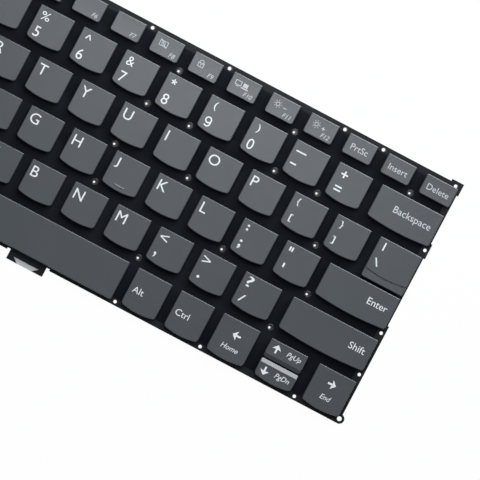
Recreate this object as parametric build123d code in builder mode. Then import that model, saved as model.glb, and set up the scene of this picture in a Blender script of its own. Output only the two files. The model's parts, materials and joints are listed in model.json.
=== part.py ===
from build123d import *

import os
from collections import namedtuple
from math import asin, atan, cos, degrees, radians, sqrt

# Key field, in millimetres. X runs to the keyboard's right, Y to the function row, Z up.
field_width = 274.4
side_margin = 0.7
rear_margin = 1.8
front_margin = 1.5

# Key sizes in plan
key_width = 15.0
key_gap = 4.0
row_pitch = 18.5
cap_depth = 13.6
cap_bow = 1.0
function_key_width = 12.5
function_key_gap = 4.7
function_key_depth = 8.4
function_row_gap = 3.6
delete_width = 13.6
backspace_width = 27.4
backslash_width = 18.4
backslash_clearance = 1.1
enter_width = 31.2
arrow_width = 16.3
arrow_gap = 5.0
space_width = 92.7
bottom_row_depth = 15.5
half_key_gap = 0.6
half_key_slope = 1.6

# Heights
plate_thickness = 0.5
membrane_thickness = 0.3
key_travel = 1.3
pressed_clearance = 0.2
cap_height = 1.9
cap_roof = 0.8

# Keycap form
cap_wall = 0.9
cap_draft = 10
front_corner = 0.85
slope_drop = 0.9
groove_width = 0.6
groove_depth = 0.35
home_bar_length = 4.4
home_bar_width = 0.7
home_bar_height = 0.2
home_bar_setback = 2.2

# Base plate edge and screw holes
screw_hole = 1.9
hole_sides = 10
hole_row_offset = 1.7
edge_hole_setback = 1.6
corner_hole_inset = 1.9
side_hole_inset = 0.8
ear_radius = 2.0
ear_overhang = 0.2
rear_tab_length = 5.2
rear_tab_depth = 0.9
side_step = 0.65
side_boss_length = 6.5
side_step_lead = 3.6
front_tab_width = 16.0
front_tab_depth = 3.4
relief_width = 1.4
relief_depth = 0.7

# Membrane and tail film
membrane_inset = 2.9
membrane_cutout = 3.4
film_thickness = 0.15
film_depth = 1.9
film_rear_width = 11.0
film_front_width = 6.4

# Scissor levers and rubber domes
lever_thickness = 0.5
lever_bar = 1.2
lever_span = 11.2
lever_length = 9.0
lever_clearance = 0.05
dome_base = 5.0
dome_top = 3.0
small_lever_bar = 0.9
small_lever_span = 9.0
small_lever_length = 5.0
small_dome_base = 3.0
small_dome_top = 2.0
dome_sides = 6
left_post = 3.0

# Stabiliser bars of the wide keys
stabiliser_wire = 0.6
stabiliser_reach = 7.0
stabiliser_clearance = 0.2
stabiliser_end = 1.5

# Derived frame: the origin is under the middle of the whole outline
number_row_setback = rear_margin + function_key_depth + function_row_gap
plate_width = field_width + 2 * side_margin
plate_depth = number_row_setback + 4 * row_pitch + bottom_row_depth + cap_bow + front_margin
overall_depth = rear_tab_depth + plate_depth + front_tab_depth
rear_edge = overall_depth / 2 - rear_tab_depth
front_edge = rear_edge - plate_depth
plate_middle = (rear_edge + front_edge) / 2
membrane_top = plate_thickness + membrane_thickness
skirt_level = membrane_top + key_travel + pressed_clearance
cap_top = skirt_level + cap_height
roof_level = cap_top - cap_roof
switch_room = roof_level - membrane_top
half_key_depth = (bottom_row_depth + cap_bow - half_key_gap) / 2

Key = namedtuple("Key", "left rear width depth bow gap")

special_widths = {
    "delete": delete_width,
    "backspace": backspace_width,
    "backslash": backslash_width,
    "enter": enter_width,
    "shift_right": 2 * arrow_width + arrow_gap,
    "slash": arrow_width,
    "right": arrow_width,
    "up": arrow_width,
    "left": arrow_width,
    "space": space_width,
}
special_gaps = {"shift_right": arrow_gap, "right": arrow_gap, "up": arrow_gap}


def lay_row(names, rear, depth, bow, width, gap):
    """Lay keys from the right end of the field to the left; the last one fills the row."""
    right = field_width / 2
    row = {}
    for name in names:
        wide = special_widths.get(name, width)
        if name == names[-1]:
            wide = right + field_width / 2
        space_left = special_gaps.get(name, gap)
        row[name] = Key(right - wide, rear, wide, depth, bow, space_left)
        right -= wide + space_left
    return row


function_names = "delete insert print_screen f12 f11 f10 f9 f8 f7 f6 f5 f4 f3 f2 f1 escape".split()
number_names = "backspace equals minus 0 9 8 7 6 5 4 3 2 1 backtick".split()
upper_names = "backslash bracket_close bracket_open p o i u y t r e w q tab".split()
home_names = "enter quote semicolon l k j h g f d s a caps_lock".split()
lower_names = "shift_right slash period comma m n b v c x z shift_left".split()
bottom_names = "right up left ctrl_right alt_right space alt_left super fn ctrl_left".split()

row_rear = [rear_edge - number_row_setback - row * row_pitch for row in range(5)]
keys = lay_row(function_names, rear_edge - rear_margin, function_key_depth, 0,
               function_key_width, function_key_gap)
keys |= lay_row(number_names, row_rear[0], cap_depth, cap_bow, key_width, key_gap)
keys |= lay_row(upper_names, row_rear[1], cap_depth, cap_bow, key_width, key_gap)
keys |= lay_row(home_names, row_rear[2], cap_depth, cap_bow, key_width, key_gap)
keys |= lay_row(lower_names, row_rear[3], cap_depth, cap_bow, key_width, key_gap)
keys |= lay_row(bottom_names, row_rear[4], bottom_row_depth, cap_bow, key_width, key_gap)

# Keys that leave the common form: long backslash, straight space bar, half-height up and down
keys["backslash"] = keys["backslash"]._replace(depth=row_pitch - backslash_clearance, bow=0)
keys["space"] = keys["space"]._replace(depth=bottom_row_depth + cap_bow, bow=0)
whole_up = keys["up"]
keys["up"] = whole_up._replace(depth=half_key_depth, bow=0)
keys["down"] = whole_up._replace(
    rear=whole_up.rear - half_key_depth - half_key_gap,
    depth=half_key_depth - cap_bow,
)

right_hand = function_names[:8] + number_names[:7] + upper_names[:8] + home_names[:7]
right_hand += lower_names[:6] + bottom_names[:6] + ["down"]
left_hand = [name for name in keys if name not in right_hand]
small_keys = function_names[:8] + ["up", "down"]
full_keys = [name for name in right_hand if name not in small_keys]
wide_keys = ["backspace", "enter", "shift_right", "space"]


def middle(name, level):
    """Point at the given height over the middle of a key."""
    key = keys[name]
    return (key.left + key.width / 2, key.rear - key.depth / 2, level)


def gap_beside(name):
    """X of the middle of the gap at a key's left side."""
    return keys[name].left - keys[name].gap / 2


def front_of(name):
    """Y of the screw holes in front of a key's row."""
    return keys[name].rear - keys[name].depth - hole_row_offset


def cap_outline(key):
    """Plan of a cap: square rear corners, cut front corners and a bowed front edge."""
    right = key.left + key.width
    front = key.rear - key.depth
    with BuildLine() as outline:
        sides = Polyline((right, front), (right, key.rear), (key.left, key.rear), (key.left, front))
        if key.bow:
            SagittaArc(sides @ 1, sides @ 0, -key.bow)
        else:
            Line(sides @ 1, sides @ 0)
    make_face(outline.edges())
    chamfer(vertices().group_by(Axis.Y)[0], length=front_corner)


def home_bar(key):
    """Plan of the small raised bar near a cap's front edge."""
    with Locations((key.left + key.width / 2, key.rear - key.depth + home_bar_setback)):
        Rectangle(home_bar_length, home_bar_width)


def slope_profile(edge, inward):
    """Section of the sloped edge of a half-height cap, in the YZ plane."""
    with BuildLine() as profile:
        Polyline((edge, cap_top), (edge + inward * half_key_slope, cap_top), (edge, cap_top - slope_drop),
                 close=True)
    make_face(profile.edges())


os.makedirs("parts", exist_ok=True)

# Screw holes: rear and front edges, sides, corners and ears, and the gaps between keys
edge_right = plate_width / 2
side_right = edge_right + side_step
corner_hole = (edge_right - corner_hole_inset, rear_edge + rear_tab_depth - corner_hole_inset)
ear_hole = (edge_right + ear_overhang, front_edge + ear_radius)
rear_holes = [(gap_beside(name), rear_edge - edge_hole_setback)
              for name in ["f8", "f10", "print_screen", "insert"]]
front_holes = [(gap_beside(name), front_edge + edge_hole_setback)
               for name in ["alt_right", "left", "right"]]
side_holes = [(edge_right - side_hole_inset, front_of(name))
              for name in ["backspace", "enter", "shift_right"]]
inner_holes = [(gap_beside(name), front_of(name))
               for name in ["f9", "f12", "delete", "8", "9", "minus", "equals", "o",
                            "bracket_close", "j", "semicolon", "enter", "comma", "shift_right"]]
inner_holes.append((gap_beside("j"), keys["j"].rear + hole_row_offset))
mirrored_holes = [(-x, y) for x, y in (corner_hole, ear_hole)]
step_rear = front_of("enter") + side_step_lead

# Stamped base plate: half the outline with corner tab, side steps, screw ear and front tab
tab_front = front_edge - front_tab_depth
tab_right = front_tab_width / 2
boss_middle = front_of("backspace")
ear_top = ear_hole[1] + sqrt(ear_radius ** 2 - (side_right - ear_hole[0]) ** 2)

with BuildPart() as base_plate:
    with BuildSketch():
        with BuildLine():
            side = Polyline(
                (0, rear_edge),
                (side_right - rear_tab_length, rear_edge),
                (side_right - rear_tab_length, rear_edge + rear_tab_depth),
                (side_right, rear_edge + rear_tab_depth),
                (side_right, rear_edge + rear_tab_depth - rear_tab_length),
                (edge_right, rear_edge + rear_tab_depth - rear_tab_length),
                (edge_right, boss_middle + side_boss_length / 2),
                (side_right, boss_middle + side_boss_length / 2),
                (side_right, boss_middle - side_boss_length / 2),
                (edge_right, boss_middle - side_boss_length / 2),
                (edge_right, step_rear),
                (side_right, step_rear),
                (side_right, ear_top),
            )
            ear = ThreePointArc(side @ 1, (ear_hole[0] + ear_radius, ear_hole[1]), (ear_hole[0], front_edge))
            Polyline(
                ear @ 1,
                (tab_right + relief_width, front_edge),
                (tab_right + relief_width, front_edge + relief_depth),
                (tab_right, front_edge + relief_depth),
                (tab_right, tab_front),
                (0, tab_front),
            )
            mirror(about=Plane.YZ)
        make_face()
    extrude(amount=plate_thickness)
    with Locations(corner_hole, ear_hole, *mirrored_holes):
        Hole(screw_hole / 2)
    with BuildSketch():
        with Locations(*rear_holes, *front_holes, *side_holes, *inner_holes):
            RegularPolygon(screw_hole / 2, hole_sides)
    extrude(amount=plate_thickness, mode=Mode.SUBTRACT)
base_plate.part.label = "base_plate"
export_step(base_plate.part, "parts/base_plate.step")

# Switch membrane, clear of the edge holes and cut out round the inner ones
with BuildPart() as membrane:
    with BuildSketch(Plane.XY.offset(plate_thickness)):
        with Locations((0, plate_middle)):
            Rectangle(plate_width - 2 * membrane_inset, plate_depth - 2 * membrane_inset)
        with Locations(*inner_holes):
            Rectangle(membrane_cutout, membrane_cutout, mode=Mode.SUBTRACT)
    extrude(amount=membrane_thickness)
membrane.part.label = "membrane"
export_step(membrane.part, "parts/membrane.step")

# Light film on the front tab
with BuildPart() as tail_film:
    with BuildSketch(Plane.XY.offset(plate_thickness)):
        with BuildLine():
            Polyline((-film_front_width / 2, tab_front), (film_front_width / 2, tab_front),
                     (film_rear_width / 2, tab_front + film_depth),
                     (-film_rear_width / 2, tab_front + film_depth), close=True)
        make_face()
    extrude(amount=film_thickness)
tail_film.part.label = "tail_film"
export_step(tail_film.part, "parts/tail_film.step")

# Rubber domes from the membrane to the roof of each cap
with BuildPart() as rubber_domes:
    with BuildSketch(Plane.XY.offset(membrane_top)):
        with Locations(*[middle(name, 0) for name in full_keys]):
            RegularPolygon(dome_base / 2, dome_sides)
    extrude(amount=switch_room, taper=degrees(atan((dome_base - dome_top) / 2 / switch_room)))
    with BuildSketch(Plane.XY.offset(membrane_top)):
        with Locations(*[middle(name, 0) for name in small_keys]):
            RegularPolygon(small_dome_base / 2, dome_sides)
    extrude(amount=switch_room,
            taper=degrees(atan((small_dome_base - small_dome_top) / 2 / switch_room)))
rubber_domes.part.label = "rubber_domes"
export_step(rubber_domes.part, "parts/rubber_domes.step")


def lever_planes(names, tilt):
    """Tilted planes through the pivots of the scissor pairs under the named keys."""
    return [Plane(origin=middle(name, pivot_level)).rotated((tilt, 0, 0)) for name in names]


def lever_tilt(length, thickness):
    """Tilt at which a lever of this length reaches from the membrane to the cap's roof."""
    return degrees(asin((switch_room - thickness) / length))


def lever_frame(span, length, bar):
    """Rectangular lever frame, open in the middle for the dome."""
    Rectangle(span, length)
    Rectangle(span - 2 * bar, length - 2 * bar, mode=Mode.SUBTRACT)


pivot_level = membrane_top + switch_room / 2
full_tilt = lever_tilt(lever_length, lever_thickness)
small_tilt = lever_tilt(small_lever_length, lever_thickness)
inner_span = lever_span - 2 * lever_bar - 2 * lever_clearance
small_inner_span = small_lever_span - 2 * small_lever_bar - 2 * lever_clearance

# Outer lever frames of the scissor pairs
with BuildPart() as outer_levers:
    with BuildSketch(*lever_planes(full_keys, full_tilt)):
        lever_frame(lever_span, lever_length, lever_bar)
    extrude(amount=lever_thickness / 2, both=True)
    with BuildSketch(*lever_planes(small_keys, small_tilt)):
        lever_frame(small_lever_span, small_lever_length, small_lever_bar)
    extrude(amount=lever_thickness / 2, both=True)
outer_levers.part.label = "outer_levers"
export_step(outer_levers.part, "parts/outer_levers.step")

# Inner lever frames, crossing the outer ones at the pivot
with BuildPart() as inner_levers:
    with BuildSketch(*lever_planes(full_keys, -full_tilt)):
        lever_frame(inner_span, lever_length, lever_bar)
    extrude(amount=lever_thickness / 2, both=True)
    with BuildSketch(*lever_planes(small_keys, -small_tilt)):
        lever_frame(small_inner_span, small_lever_length, small_lever_bar)
    extrude(amount=lever_thickness / 2, both=True)
inner_levers.part.label = "inner_levers"
export_step(inner_levers.part, "parts/inner_levers.step")

# Stabiliser bars: the long side lies under the cap's roof, the legs reach down to the membrane
bar_tilt = lever_tilt(stabiliser_reach, stabiliser_wire)
with BuildPart() as stabiliser_bars:
    for name in wide_keys:
        key = keys[name]
        span = key.width - 2 * cap_wall - 2 * stabiliser_end
        rear_face = key.rear - cap_wall - stabiliser_clearance
        bar_middle = rear_face - (stabiliser_reach * cos(radians(bar_tilt)) + stabiliser_wire) / 2
        bar_origin = (key.left + key.width / 2, bar_middle, pivot_level)
        with BuildSketch(Plane(origin=bar_origin).rotated((bar_tilt, 0, 0))):
            Rectangle(span, stabiliser_reach)
            with Locations((0, -stabiliser_wire)):
                Rectangle(span - 2 * stabiliser_wire, stabiliser_reach, mode=Mode.SUBTRACT)
        extrude(amount=stabiliser_wire / 2, both=True)
stabiliser_bars.part.label = "stabiliser_bars"
export_step(stabiliser_bars.part, "parts/stabiliser_bars.step")

# Keys of the left half in one group, each cap on a plain post
with BuildPart() as left_hand_keys:
    for name in left_hand:
        key = keys[name]
        with BuildSketch(Plane.XY.offset(skirt_level)):
            cap_outline(key)
        extrude(amount=cap_height, taper=cap_draft)
    with BuildSketch(Plane.XY.offset(cap_top)):
        home_bar(keys["f"])
    extrude(amount=home_bar_height)
    with BuildSketch(Plane.XY.offset(membrane_top)):
        with Locations(*[middle(name, 0) for name in left_hand]):
            Rectangle(left_post, left_post)
    extrude(amount=skirt_level - membrane_top)
left_hand_keys.part.label = "left_hand_keys"
export_step(left_hand_keys.part, "parts/left_hand_keys.step")

# Keycaps of the right half, each a moulded shell that travels by itself
for name in right_hand:
    key = keys[name]
    front = key.rear - key.depth
    with BuildPart() as keycap:
        with BuildSketch(Plane.XY.offset(skirt_level)):
            cap_outline(key)
        extrude(amount=cap_height, taper=cap_draft)
        with BuildSketch(Plane.XY.offset(skirt_level)):
            with Locations(middle(name, 0)):
                Rectangle(key.width - 2 * cap_wall, key.depth - 2 * cap_wall)
        extrude(amount=cap_height - cap_roof, mode=Mode.SUBTRACT)
        if name == "j":
            with BuildSketch(Plane.XY.offset(cap_top)):
                home_bar(key)
            extrude(amount=home_bar_height)
        if name == "up":
            with BuildSketch(Plane.YZ.offset(key.left)):
                slope_profile(front, 1)
            extrude(amount=key.width, mode=Mode.SUBTRACT)
        if name == "down":
            with BuildSketch(Plane.YZ.offset(key.left)):
                slope_profile(key.rear, -1)
            extrude(amount=key.width, mode=Mode.SUBTRACT)
        if name == "backslash":
            groove = key.rear - cap_depth
            with BuildSketch(Plane.XY.offset(cap_top - groove_depth)):
                with BuildLine():
                    lower = SagittaArc((key.left, groove - groove_width),
                                       (key.left + key.width, groove - groove_width), -cap_bow)
                    upper = SagittaArc((key.left + key.width, groove), (key.left, groove), cap_bow)
                    Line(lower @ 1, upper @ 0)
                    Line(upper @ 1, lower @ 0)
                make_face()
            extrude(amount=groove_depth, mode=Mode.SUBTRACT)
    keycap.part.label = f"key_{name}"
    export_step(keycap.part, f"parts/key_{name}.step")
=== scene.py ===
# %% [markdown]
# # A low keyboard on a stamped plate
# The real object is a replacement keyboard for a slim computer: a black stamped plate, a switch sheet
# that lies on it, and eighty shallow keycaps that each stand on a rubber dome and two crossed levers. The
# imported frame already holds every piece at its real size, so each step below reads its places from the
# frame. Blender adds what the eye looks for: the moulded form of the caps, their print and the finishes.

# %% Load the frame
import json
import math

import bmesh
import bpy
from mathutils import Matrix, Vector

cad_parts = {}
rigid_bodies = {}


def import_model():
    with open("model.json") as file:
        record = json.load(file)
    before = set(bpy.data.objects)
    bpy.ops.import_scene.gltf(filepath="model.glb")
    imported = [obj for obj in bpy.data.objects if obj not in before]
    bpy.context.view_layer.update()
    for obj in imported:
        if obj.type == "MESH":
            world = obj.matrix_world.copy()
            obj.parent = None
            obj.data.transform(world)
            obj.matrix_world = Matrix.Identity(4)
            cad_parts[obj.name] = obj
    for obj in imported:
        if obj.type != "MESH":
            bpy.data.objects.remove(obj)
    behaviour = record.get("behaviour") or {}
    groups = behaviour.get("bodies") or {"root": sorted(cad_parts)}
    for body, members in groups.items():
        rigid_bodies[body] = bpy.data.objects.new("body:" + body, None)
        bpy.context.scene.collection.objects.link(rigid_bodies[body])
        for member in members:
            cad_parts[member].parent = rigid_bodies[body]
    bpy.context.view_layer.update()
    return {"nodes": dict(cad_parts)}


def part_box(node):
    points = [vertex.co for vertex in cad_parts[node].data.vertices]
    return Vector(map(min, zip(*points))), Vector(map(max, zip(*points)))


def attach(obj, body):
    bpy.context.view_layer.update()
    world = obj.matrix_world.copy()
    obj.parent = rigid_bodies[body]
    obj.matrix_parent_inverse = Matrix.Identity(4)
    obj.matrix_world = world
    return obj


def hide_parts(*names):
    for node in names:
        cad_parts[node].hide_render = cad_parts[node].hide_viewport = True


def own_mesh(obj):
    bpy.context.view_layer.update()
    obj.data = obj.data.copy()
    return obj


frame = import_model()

MM = 0.001
TINY = 0.002 * MM
MERGE = 0.005 * MM

# %% [markdown]
# ## Where the keys are
# On the real board each cap is a moulding of its own. The frame keeps the caps of one hand as separate
# nodes and the caps of the other hand joined in one node. A node of joined solids is a soup of triangles,
# but a copy of it can be merged and then separated by loose parts, as one would do by hand, and each part
# gives one key's place.

# %% Select and split helpers
def deselect():
    """Clear the selection, so that the next step meets only what it adds."""
    bpy.ops.object.select_all(action="DESELECT")


def only(piece):
    """Make one object the active and only selected one."""
    deselect()
    piece.select_set(True)
    bpy.context.view_layer.objects.active = piece


def edit():
    """Enter edit mode."""
    bpy.ops.object.mode_set(mode="EDIT")


def leave():
    """Leave edit mode."""
    bpy.ops.object.mode_set(mode="OBJECT")


def copy_of(mesh, name, shift=(0, 0, 0)):
    """New object with a moved copy of a mesh of its own."""
    copy = bpy.data.objects.new(name, mesh.copy())
    bpy.context.scene.collection.objects.link(copy)
    copy.data.transform(Matrix.Translation(shift))
    return copy


def split_copy(node):
    """Merged copy of a node, taken apart into its separate solids."""
    copy = copy_of(frame["nodes"][node].data, node + "_copy")
    before = set(bpy.data.objects)
    only(copy)
    edit()
    bpy.ops.mesh.select_all(action="SELECT")
    bpy.ops.mesh.customdata_custom_splitnormals_clear()
    bpy.ops.mesh.remove_doubles(threshold=MERGE)
    bpy.ops.mesh.separate(type="LOOSE")
    leave()
    return [copy] + [piece for piece in bpy.data.objects if piece not in before]


def box_of(piece):
    """Lowest and highest corner of a mesh."""
    points = [vertex.co for vertex in piece.data.vertices]
    low = Vector([min(point[axis] for point in points) for axis in range(3)])
    high = Vector([max(point[axis] for point in points) for axis in range(3)])
    return low, high


def discard(pieces):
    """Delete helper objects and their meshes."""
    for piece in pieces:
        mesh = piece.data
        bpy.data.objects.remove(piece)
        bpy.data.meshes.remove(mesh)


print("select and split helpers ready")

# %% Name every key and find its box
LEFT_ROWS = [
    "esc f1 f2 f3 f4 f5 f6 f7",
    "grave 1 2 3 4 5 6",
    "tab q w e r t",
    "caps a s d f g",
    "shift_left z x c v b",
    "ctrl_left fn super alt_left",
]
right_keys = {node[4:]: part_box(node) for node in frame["nodes"] if node.startswith("key_")}

left_parts = split_copy("left_hand_keys")
left_boxes = sorted((box_of(part) for part in left_parts), key=lambda box: -box[1].y)
left_keys = {}
for row in LEFT_ROWS:
    names = row.split()
    row_boxes = sorted(left_boxes[:len(names)], key=lambda box: box[0].x)
    left_boxes = left_boxes[len(names):]
    left_keys.update(zip(names, row_boxes))
discard(left_parts)

keys = {**right_keys, **left_keys}
skirt = right_keys["k"][0].z
cap_top = right_keys["k"][1].z
sheet_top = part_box("membrane")[1].z
print("caps on their own:", len(right_keys), "caps in the joined node:", len(left_keys))
print("boxes left over:", len(left_boxes))

# %% [markdown]
# ## The camera
# The photograph looks straight down, and the board lies turned in it. A long lens a good way above gives
# the same parallel lines. The lens follows from the width that the picture shows at the tops of the caps.

# %% Camera straight above
VIEW_WIDTH = 189.2 * MM
VIEW_MIDDLE = Vector((70.4 * MM, -5.55 * MM, cap_top))
VIEW_TURN = math.radians(27.85)
VIEW_DISTANCE = 1.6
SENSOR = 36.0

bpy.ops.object.camera_add(location=VIEW_MIDDLE + Vector((0, 0, VIEW_DISTANCE)), rotation=(0, 0, VIEW_TURN))
camera = bpy.context.object
camera.name = "camera"
camera.data.sensor_width = SENSOR
camera.data.lens = SENSOR * VIEW_DISTANCE / VIEW_WIDTH
bpy.context.scene.camera = camera
print("lens:", round(camera.data.lens), "mm")

# %% [markdown]
# ## Writing finishes as sums
# A finish is a tree of nodes, which is slow to read as a list of links. The small class below wraps one
# socket, so that sums such as 0.5 + 0.1 * grain add their Math nodes by themselves, and one method makes
# any other node.

# %% Socket class
class Tap:
    """One output of a finish's node tree that takes part in sums."""

    def __init__(self, tree, socket=None):
        self.tree = tree
        self.socket = socket

    def node(self, kind, settings=None, sockets=None, out=0):
        """Add a node: its settings first, then values or links for its sockets."""
        made = self.tree.nodes.new("ShaderNode" + kind)
        for name, value in (settings or {}).items():
            if name == "stops":
                ramp = made.color_ramp.elements
                for place, (position, colour) in enumerate(value):
                    stop = ramp[place] if place < len(ramp) else ramp.new(position)
                    stop.position = position
                    stop.color = colour
            else:
                setattr(made, name, value)
        for name, value in (sockets or {}).items():
            if isinstance(value, Tap):
                self.tree.links.new(value.socket, made.inputs[name])
            else:
                made.inputs[name].default_value = value
        return Tap(self.tree, made.outputs[out])

    def math(self, operation, *values):
        """Add a Math node."""
        return self.node("Math", {"operation": operation}, dict(enumerate(values)))

    def __add__(self, other):
        return self.math("ADD", self, other)

    def __radd__(self, other):
        return self.math("ADD", other, self)

    def __sub__(self, other):
        return self.math("SUBTRACT", self, other)

    def __rsub__(self, other):
        return self.math("SUBTRACT", other, self)

    def __mul__(self, other):
        return self.math("MULTIPLY", self, other)

    def __rmul__(self, other):
        return self.math("MULTIPLY", other, self)


def tone(red, green, blue):
    """Linear colour of the values that a picture shows, 0 to 255."""
    def linear(value):
        share = value / 255
        return share / 12.92 if share <= 0.04045 else ((share + 0.055) / 1.055) ** 2.4
    return (linear(red), linear(green), linear(blue), 1.0)


def start_finish(name):
    """New finish: returns the material, a tap on its node tree and its Principled shader's node."""
    finish = bpy.data.materials.new(name)
    finish.use_nodes = True
    tree = finish.node_tree
    shader = next(node for node in tree.nodes if node.type == "BSDF_PRINCIPLED")
    return finish, Tap(tree), shader


def feed(tap, shader, **sockets):
    """Set or link sockets of a shader, with underscores for the blanks in their names."""
    for name, value in sockets.items():
        socket = shader.inputs[name.replace("_", " ")]
        if isinstance(value, Tap):
            tap.tree.links.new(value.socket, socket)
        else:
            socket.default_value = value


print("socket class ready")

# %% [markdown]
# ## The finish of the caps
# The caps are moulded in grey plastic with a fine spark texture, so their tops shine softly and show no
# clear reflection. Their rounded rims and sloped edges come smoother out of the mould, and their plastic
# is
# also a lighter grey: a painted highlight that makes them catch the light.
# A picture could be wrapped on them, but noise in the object's own coordinates needs no unwrapping and
# gives each cap its own patch: a broad noise moves the grey between cool and warm, a fine one adds grain.

# %% Cap plastic
DRIFT_SCALE = 42.0
GRAIN_SCALE = 3600.0
FLECK_SHARE = 0.22
FLECK_GREY = (0.6, 0.6, 0.6, 1.0)
WHITE = (1.0, 1.0, 1.0, 1.0)
COLOUR_A, COLOUR_B, COLOUR_OUT = 6, 7, 2  # the colour sockets of a Mix node
PLASTIC_SHINE = 0.9


def moulded_plastic(name, cool, warm, rough, grain_height):
    """Grey moulding with a fine spark texture."""
    finish, tap, shader = start_finish(name)
    place = tap.node("TexCoord", out="Object")
    broad = tap.node("TexNoise", {}, {"Vector": place, "Scale": DRIFT_SCALE, "Detail": 2.0})
    grain = tap.node("TexNoise", {}, {"Vector": place, "Scale": GRAIN_SCALE, "Detail": 3.0,
                                      "Roughness": 0.6})
    drift = tap.node("ValToRGB", {"stops": [(0.36, cool), (0.64, warm)]}, {"Fac": broad})
    shade = tap.node("ValToRGB", {"stops": [(0.3, FLECK_GREY), (0.7, WHITE)]}, {"Fac": grain})
    fleck = tap.node("Mix", {"data_type": "RGBA", "blend_type": "MULTIPLY"},
                     {"Factor": FLECK_SHARE, COLOUR_A: drift, COLOUR_B: shade}, out=COLOUR_OUT)
    bump = tap.node("Bump", {}, {"Strength": 0.35, "Distance": grain_height, "Height": grain})
    feed(tap, shader, Base_Color=fleck, Roughness=rough + 0.16 * (grain - 0.5), Normal=bump)
    feed(tap, shader, Specular_IOR_Level=PLASTIC_SHINE)
    return finish


cap_plastic = moulded_plastic("cap_plastic", tone(46, 53, 57), tone(51, 53, 60),
                              rough=0.37, grain_height=0.02 * MM)
# Rims, slopes and home bars: a smoother finish, and a lighter grey that is a painted highlight.
edge_plastic = moulded_plastic("edge_plastic", tone(55, 61, 65), tone(59, 62, 69),
                               rough=0.22, grain_height=0.004 * MM)
lever_plastic = moulded_plastic("lever_plastic", tone(33, 34, 37), tone(38, 38, 41),
                                rough=0.5, grain_height=0.01 * MM)
print("finishes:", cap_plastic.name, edge_plastic.name, lever_plastic.name)

# %% [markdown]
# ## Plate, switch sheet, film, rubber, wire and print
# The plate is steel with a thin black coat, the sheet on it a matt black plastic film, and the tail a pale
# film. The domes are soft silicone, the stabilisers bright wire and the legends a pale ink. Each is a
# plain shader with its own scale of unevenness: an orange-peel coat, a film, cloudy rubber, drawn wire and
# thin ink.

# %% Plate coat and films
CLOUD_SCALE = 60.0


def uneven_coat(name, dark, light, rough, shine, scale, height):
    """Smooth surface with a fine uneven coat."""
    finish, tap, shader = start_finish(name)
    place = tap.node("TexCoord", out="Object")
    broad = tap.node("TexNoise", {}, {"Vector": place, "Scale": CLOUD_SCALE, "Detail": 3.0})
    peel = tap.node("TexNoise", {}, {"Vector": place, "Scale": scale, "Detail": 2.0})
    drift = tap.node("ValToRGB", {"stops": [(0.35, dark), (0.68, light)]}, {"Fac": broad})
    bump = tap.node("Bump", {}, {"Strength": 0.3, "Distance": height, "Height": peel})
    feed(tap, shader, Base_Color=drift, Roughness=rough + 0.2 * (peel - 0.5), Normal=bump)
    feed(tap, shader, Specular_IOR_Level=shine)
    return finish


plate_coat = uneven_coat("plate_coat", tone(14, 17, 22), tone(20, 23, 29),
                         rough=0.5, shine=0.2, scale=1500.0, height=0.012 * MM)
sheet_film = uneven_coat("sheet_film", tone(13, 16, 23), tone(17, 20, 28),
                         rough=0.7, shine=0.1, scale=2600.0, height=0.006 * MM)
collar_coat = uneven_coat("collar_coat", tone(16, 18, 23), tone(22, 24, 30),
                          rough=0.3, shine=0.7, scale=1500.0, height=0.006 * MM)
tail_grey = uneven_coat("tail_grey", tone(176, 177, 178), tone(196, 197, 197),
                        rough=0.45, shine=0.5, scale=1800.0, height=0.004 * MM)
dome_rubber = uneven_coat("dome_rubber", tone(150, 152, 154), tone(172, 174, 175),
                          rough=0.6, shine=0.4, scale=900.0, height=0.01 * MM)
print("finishes:", plate_coat.name, sheet_film.name, collar_coat.name, tail_grey.name, dome_rubber.name)


# %% Wire and print
LINE_SCALE = (60.0, 4000.0, 4000.0)
COVER_SCALE = 1900.0


def drawn_wire(name):
    """Bright steel with fine lines along its length."""
    finish, tap, shader = start_finish(name)
    place = tap.node("TexCoord", out="Object")
    along = tap.node("Mapping", {}, {"Vector": place, "Scale": LINE_SCALE})
    lines = tap.node("TexNoise", {}, {"Vector": along, "Scale": 1.0, "Detail": 2.0})
    stops = [(0.3, tone(150, 152, 156)), (0.7, tone(190, 192, 196))]
    tint = tap.node("ValToRGB", {"stops": stops}, {"Fac": lines})
    feed(tap, shader, Base_Color=tint, Metallic=1.0, Roughness=0.24 + 0.14 * lines)
    return finish


def pale_ink(name, thin, full):
    """Pale print whose cover is a little uneven."""
    finish, tap, shader = start_finish(name)
    place = tap.node("TexCoord", out="Object")
    cover = tap.node("TexNoise", {}, {"Vector": place, "Scale": COVER_SCALE, "Detail": 3.0})
    tint = tap.node("ValToRGB", {"stops": [(0.3, thin), (0.6, full)]}, {"Fac": cover})
    feed(tap, shader, Base_Color=tint, Roughness=0.5 + 0.15 * cover)
    return finish


bar_wire = drawn_wire("bar_wire")
legend_ink = pale_ink("legend_ink", tone(222, 226, 230), tone(231, 234, 237))
second_ink = pale_ink("second_ink", tone(192, 197, 202), tone(205, 209, 214))
faint_ink = pale_ink("faint_ink", tone(184, 189, 194), tone(198, 202, 207))
print("finishes:", bar_wire.name, legend_ink.name, second_ink.name, faint_ink.name)

# %% [markdown]
# ## A keycap
# A real cap is a thin moulded shell with a shallow dish. Nearly all have the same plan: a straight rear
# edge with tight corners, and a bowed front edge with round ones. Drawing a curve and filling it would
# work, but a plane that is shaped in edit mode keeps clean rows of faces: the front edge is divided and
# its middle pulled forward, the corners are rounded, the plan is pulled up with draft, its rim rounded
# and its top sunk in rings. Two caps of half depth face each other with a sloped edge.

# %% Edit-mode helpers
def settle():
    """Apply the place, turn and scale of the selected object to its mesh."""
    bpy.ops.object.transform_apply(location=True, rotation=True, scale=True)


def smooth(degrees):
    """Shade the active object smooth, apart from edges that turn by more than an angle."""
    bpy.ops.object.shade_smooth_by_angle(angle=math.radians(degrees))


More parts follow.
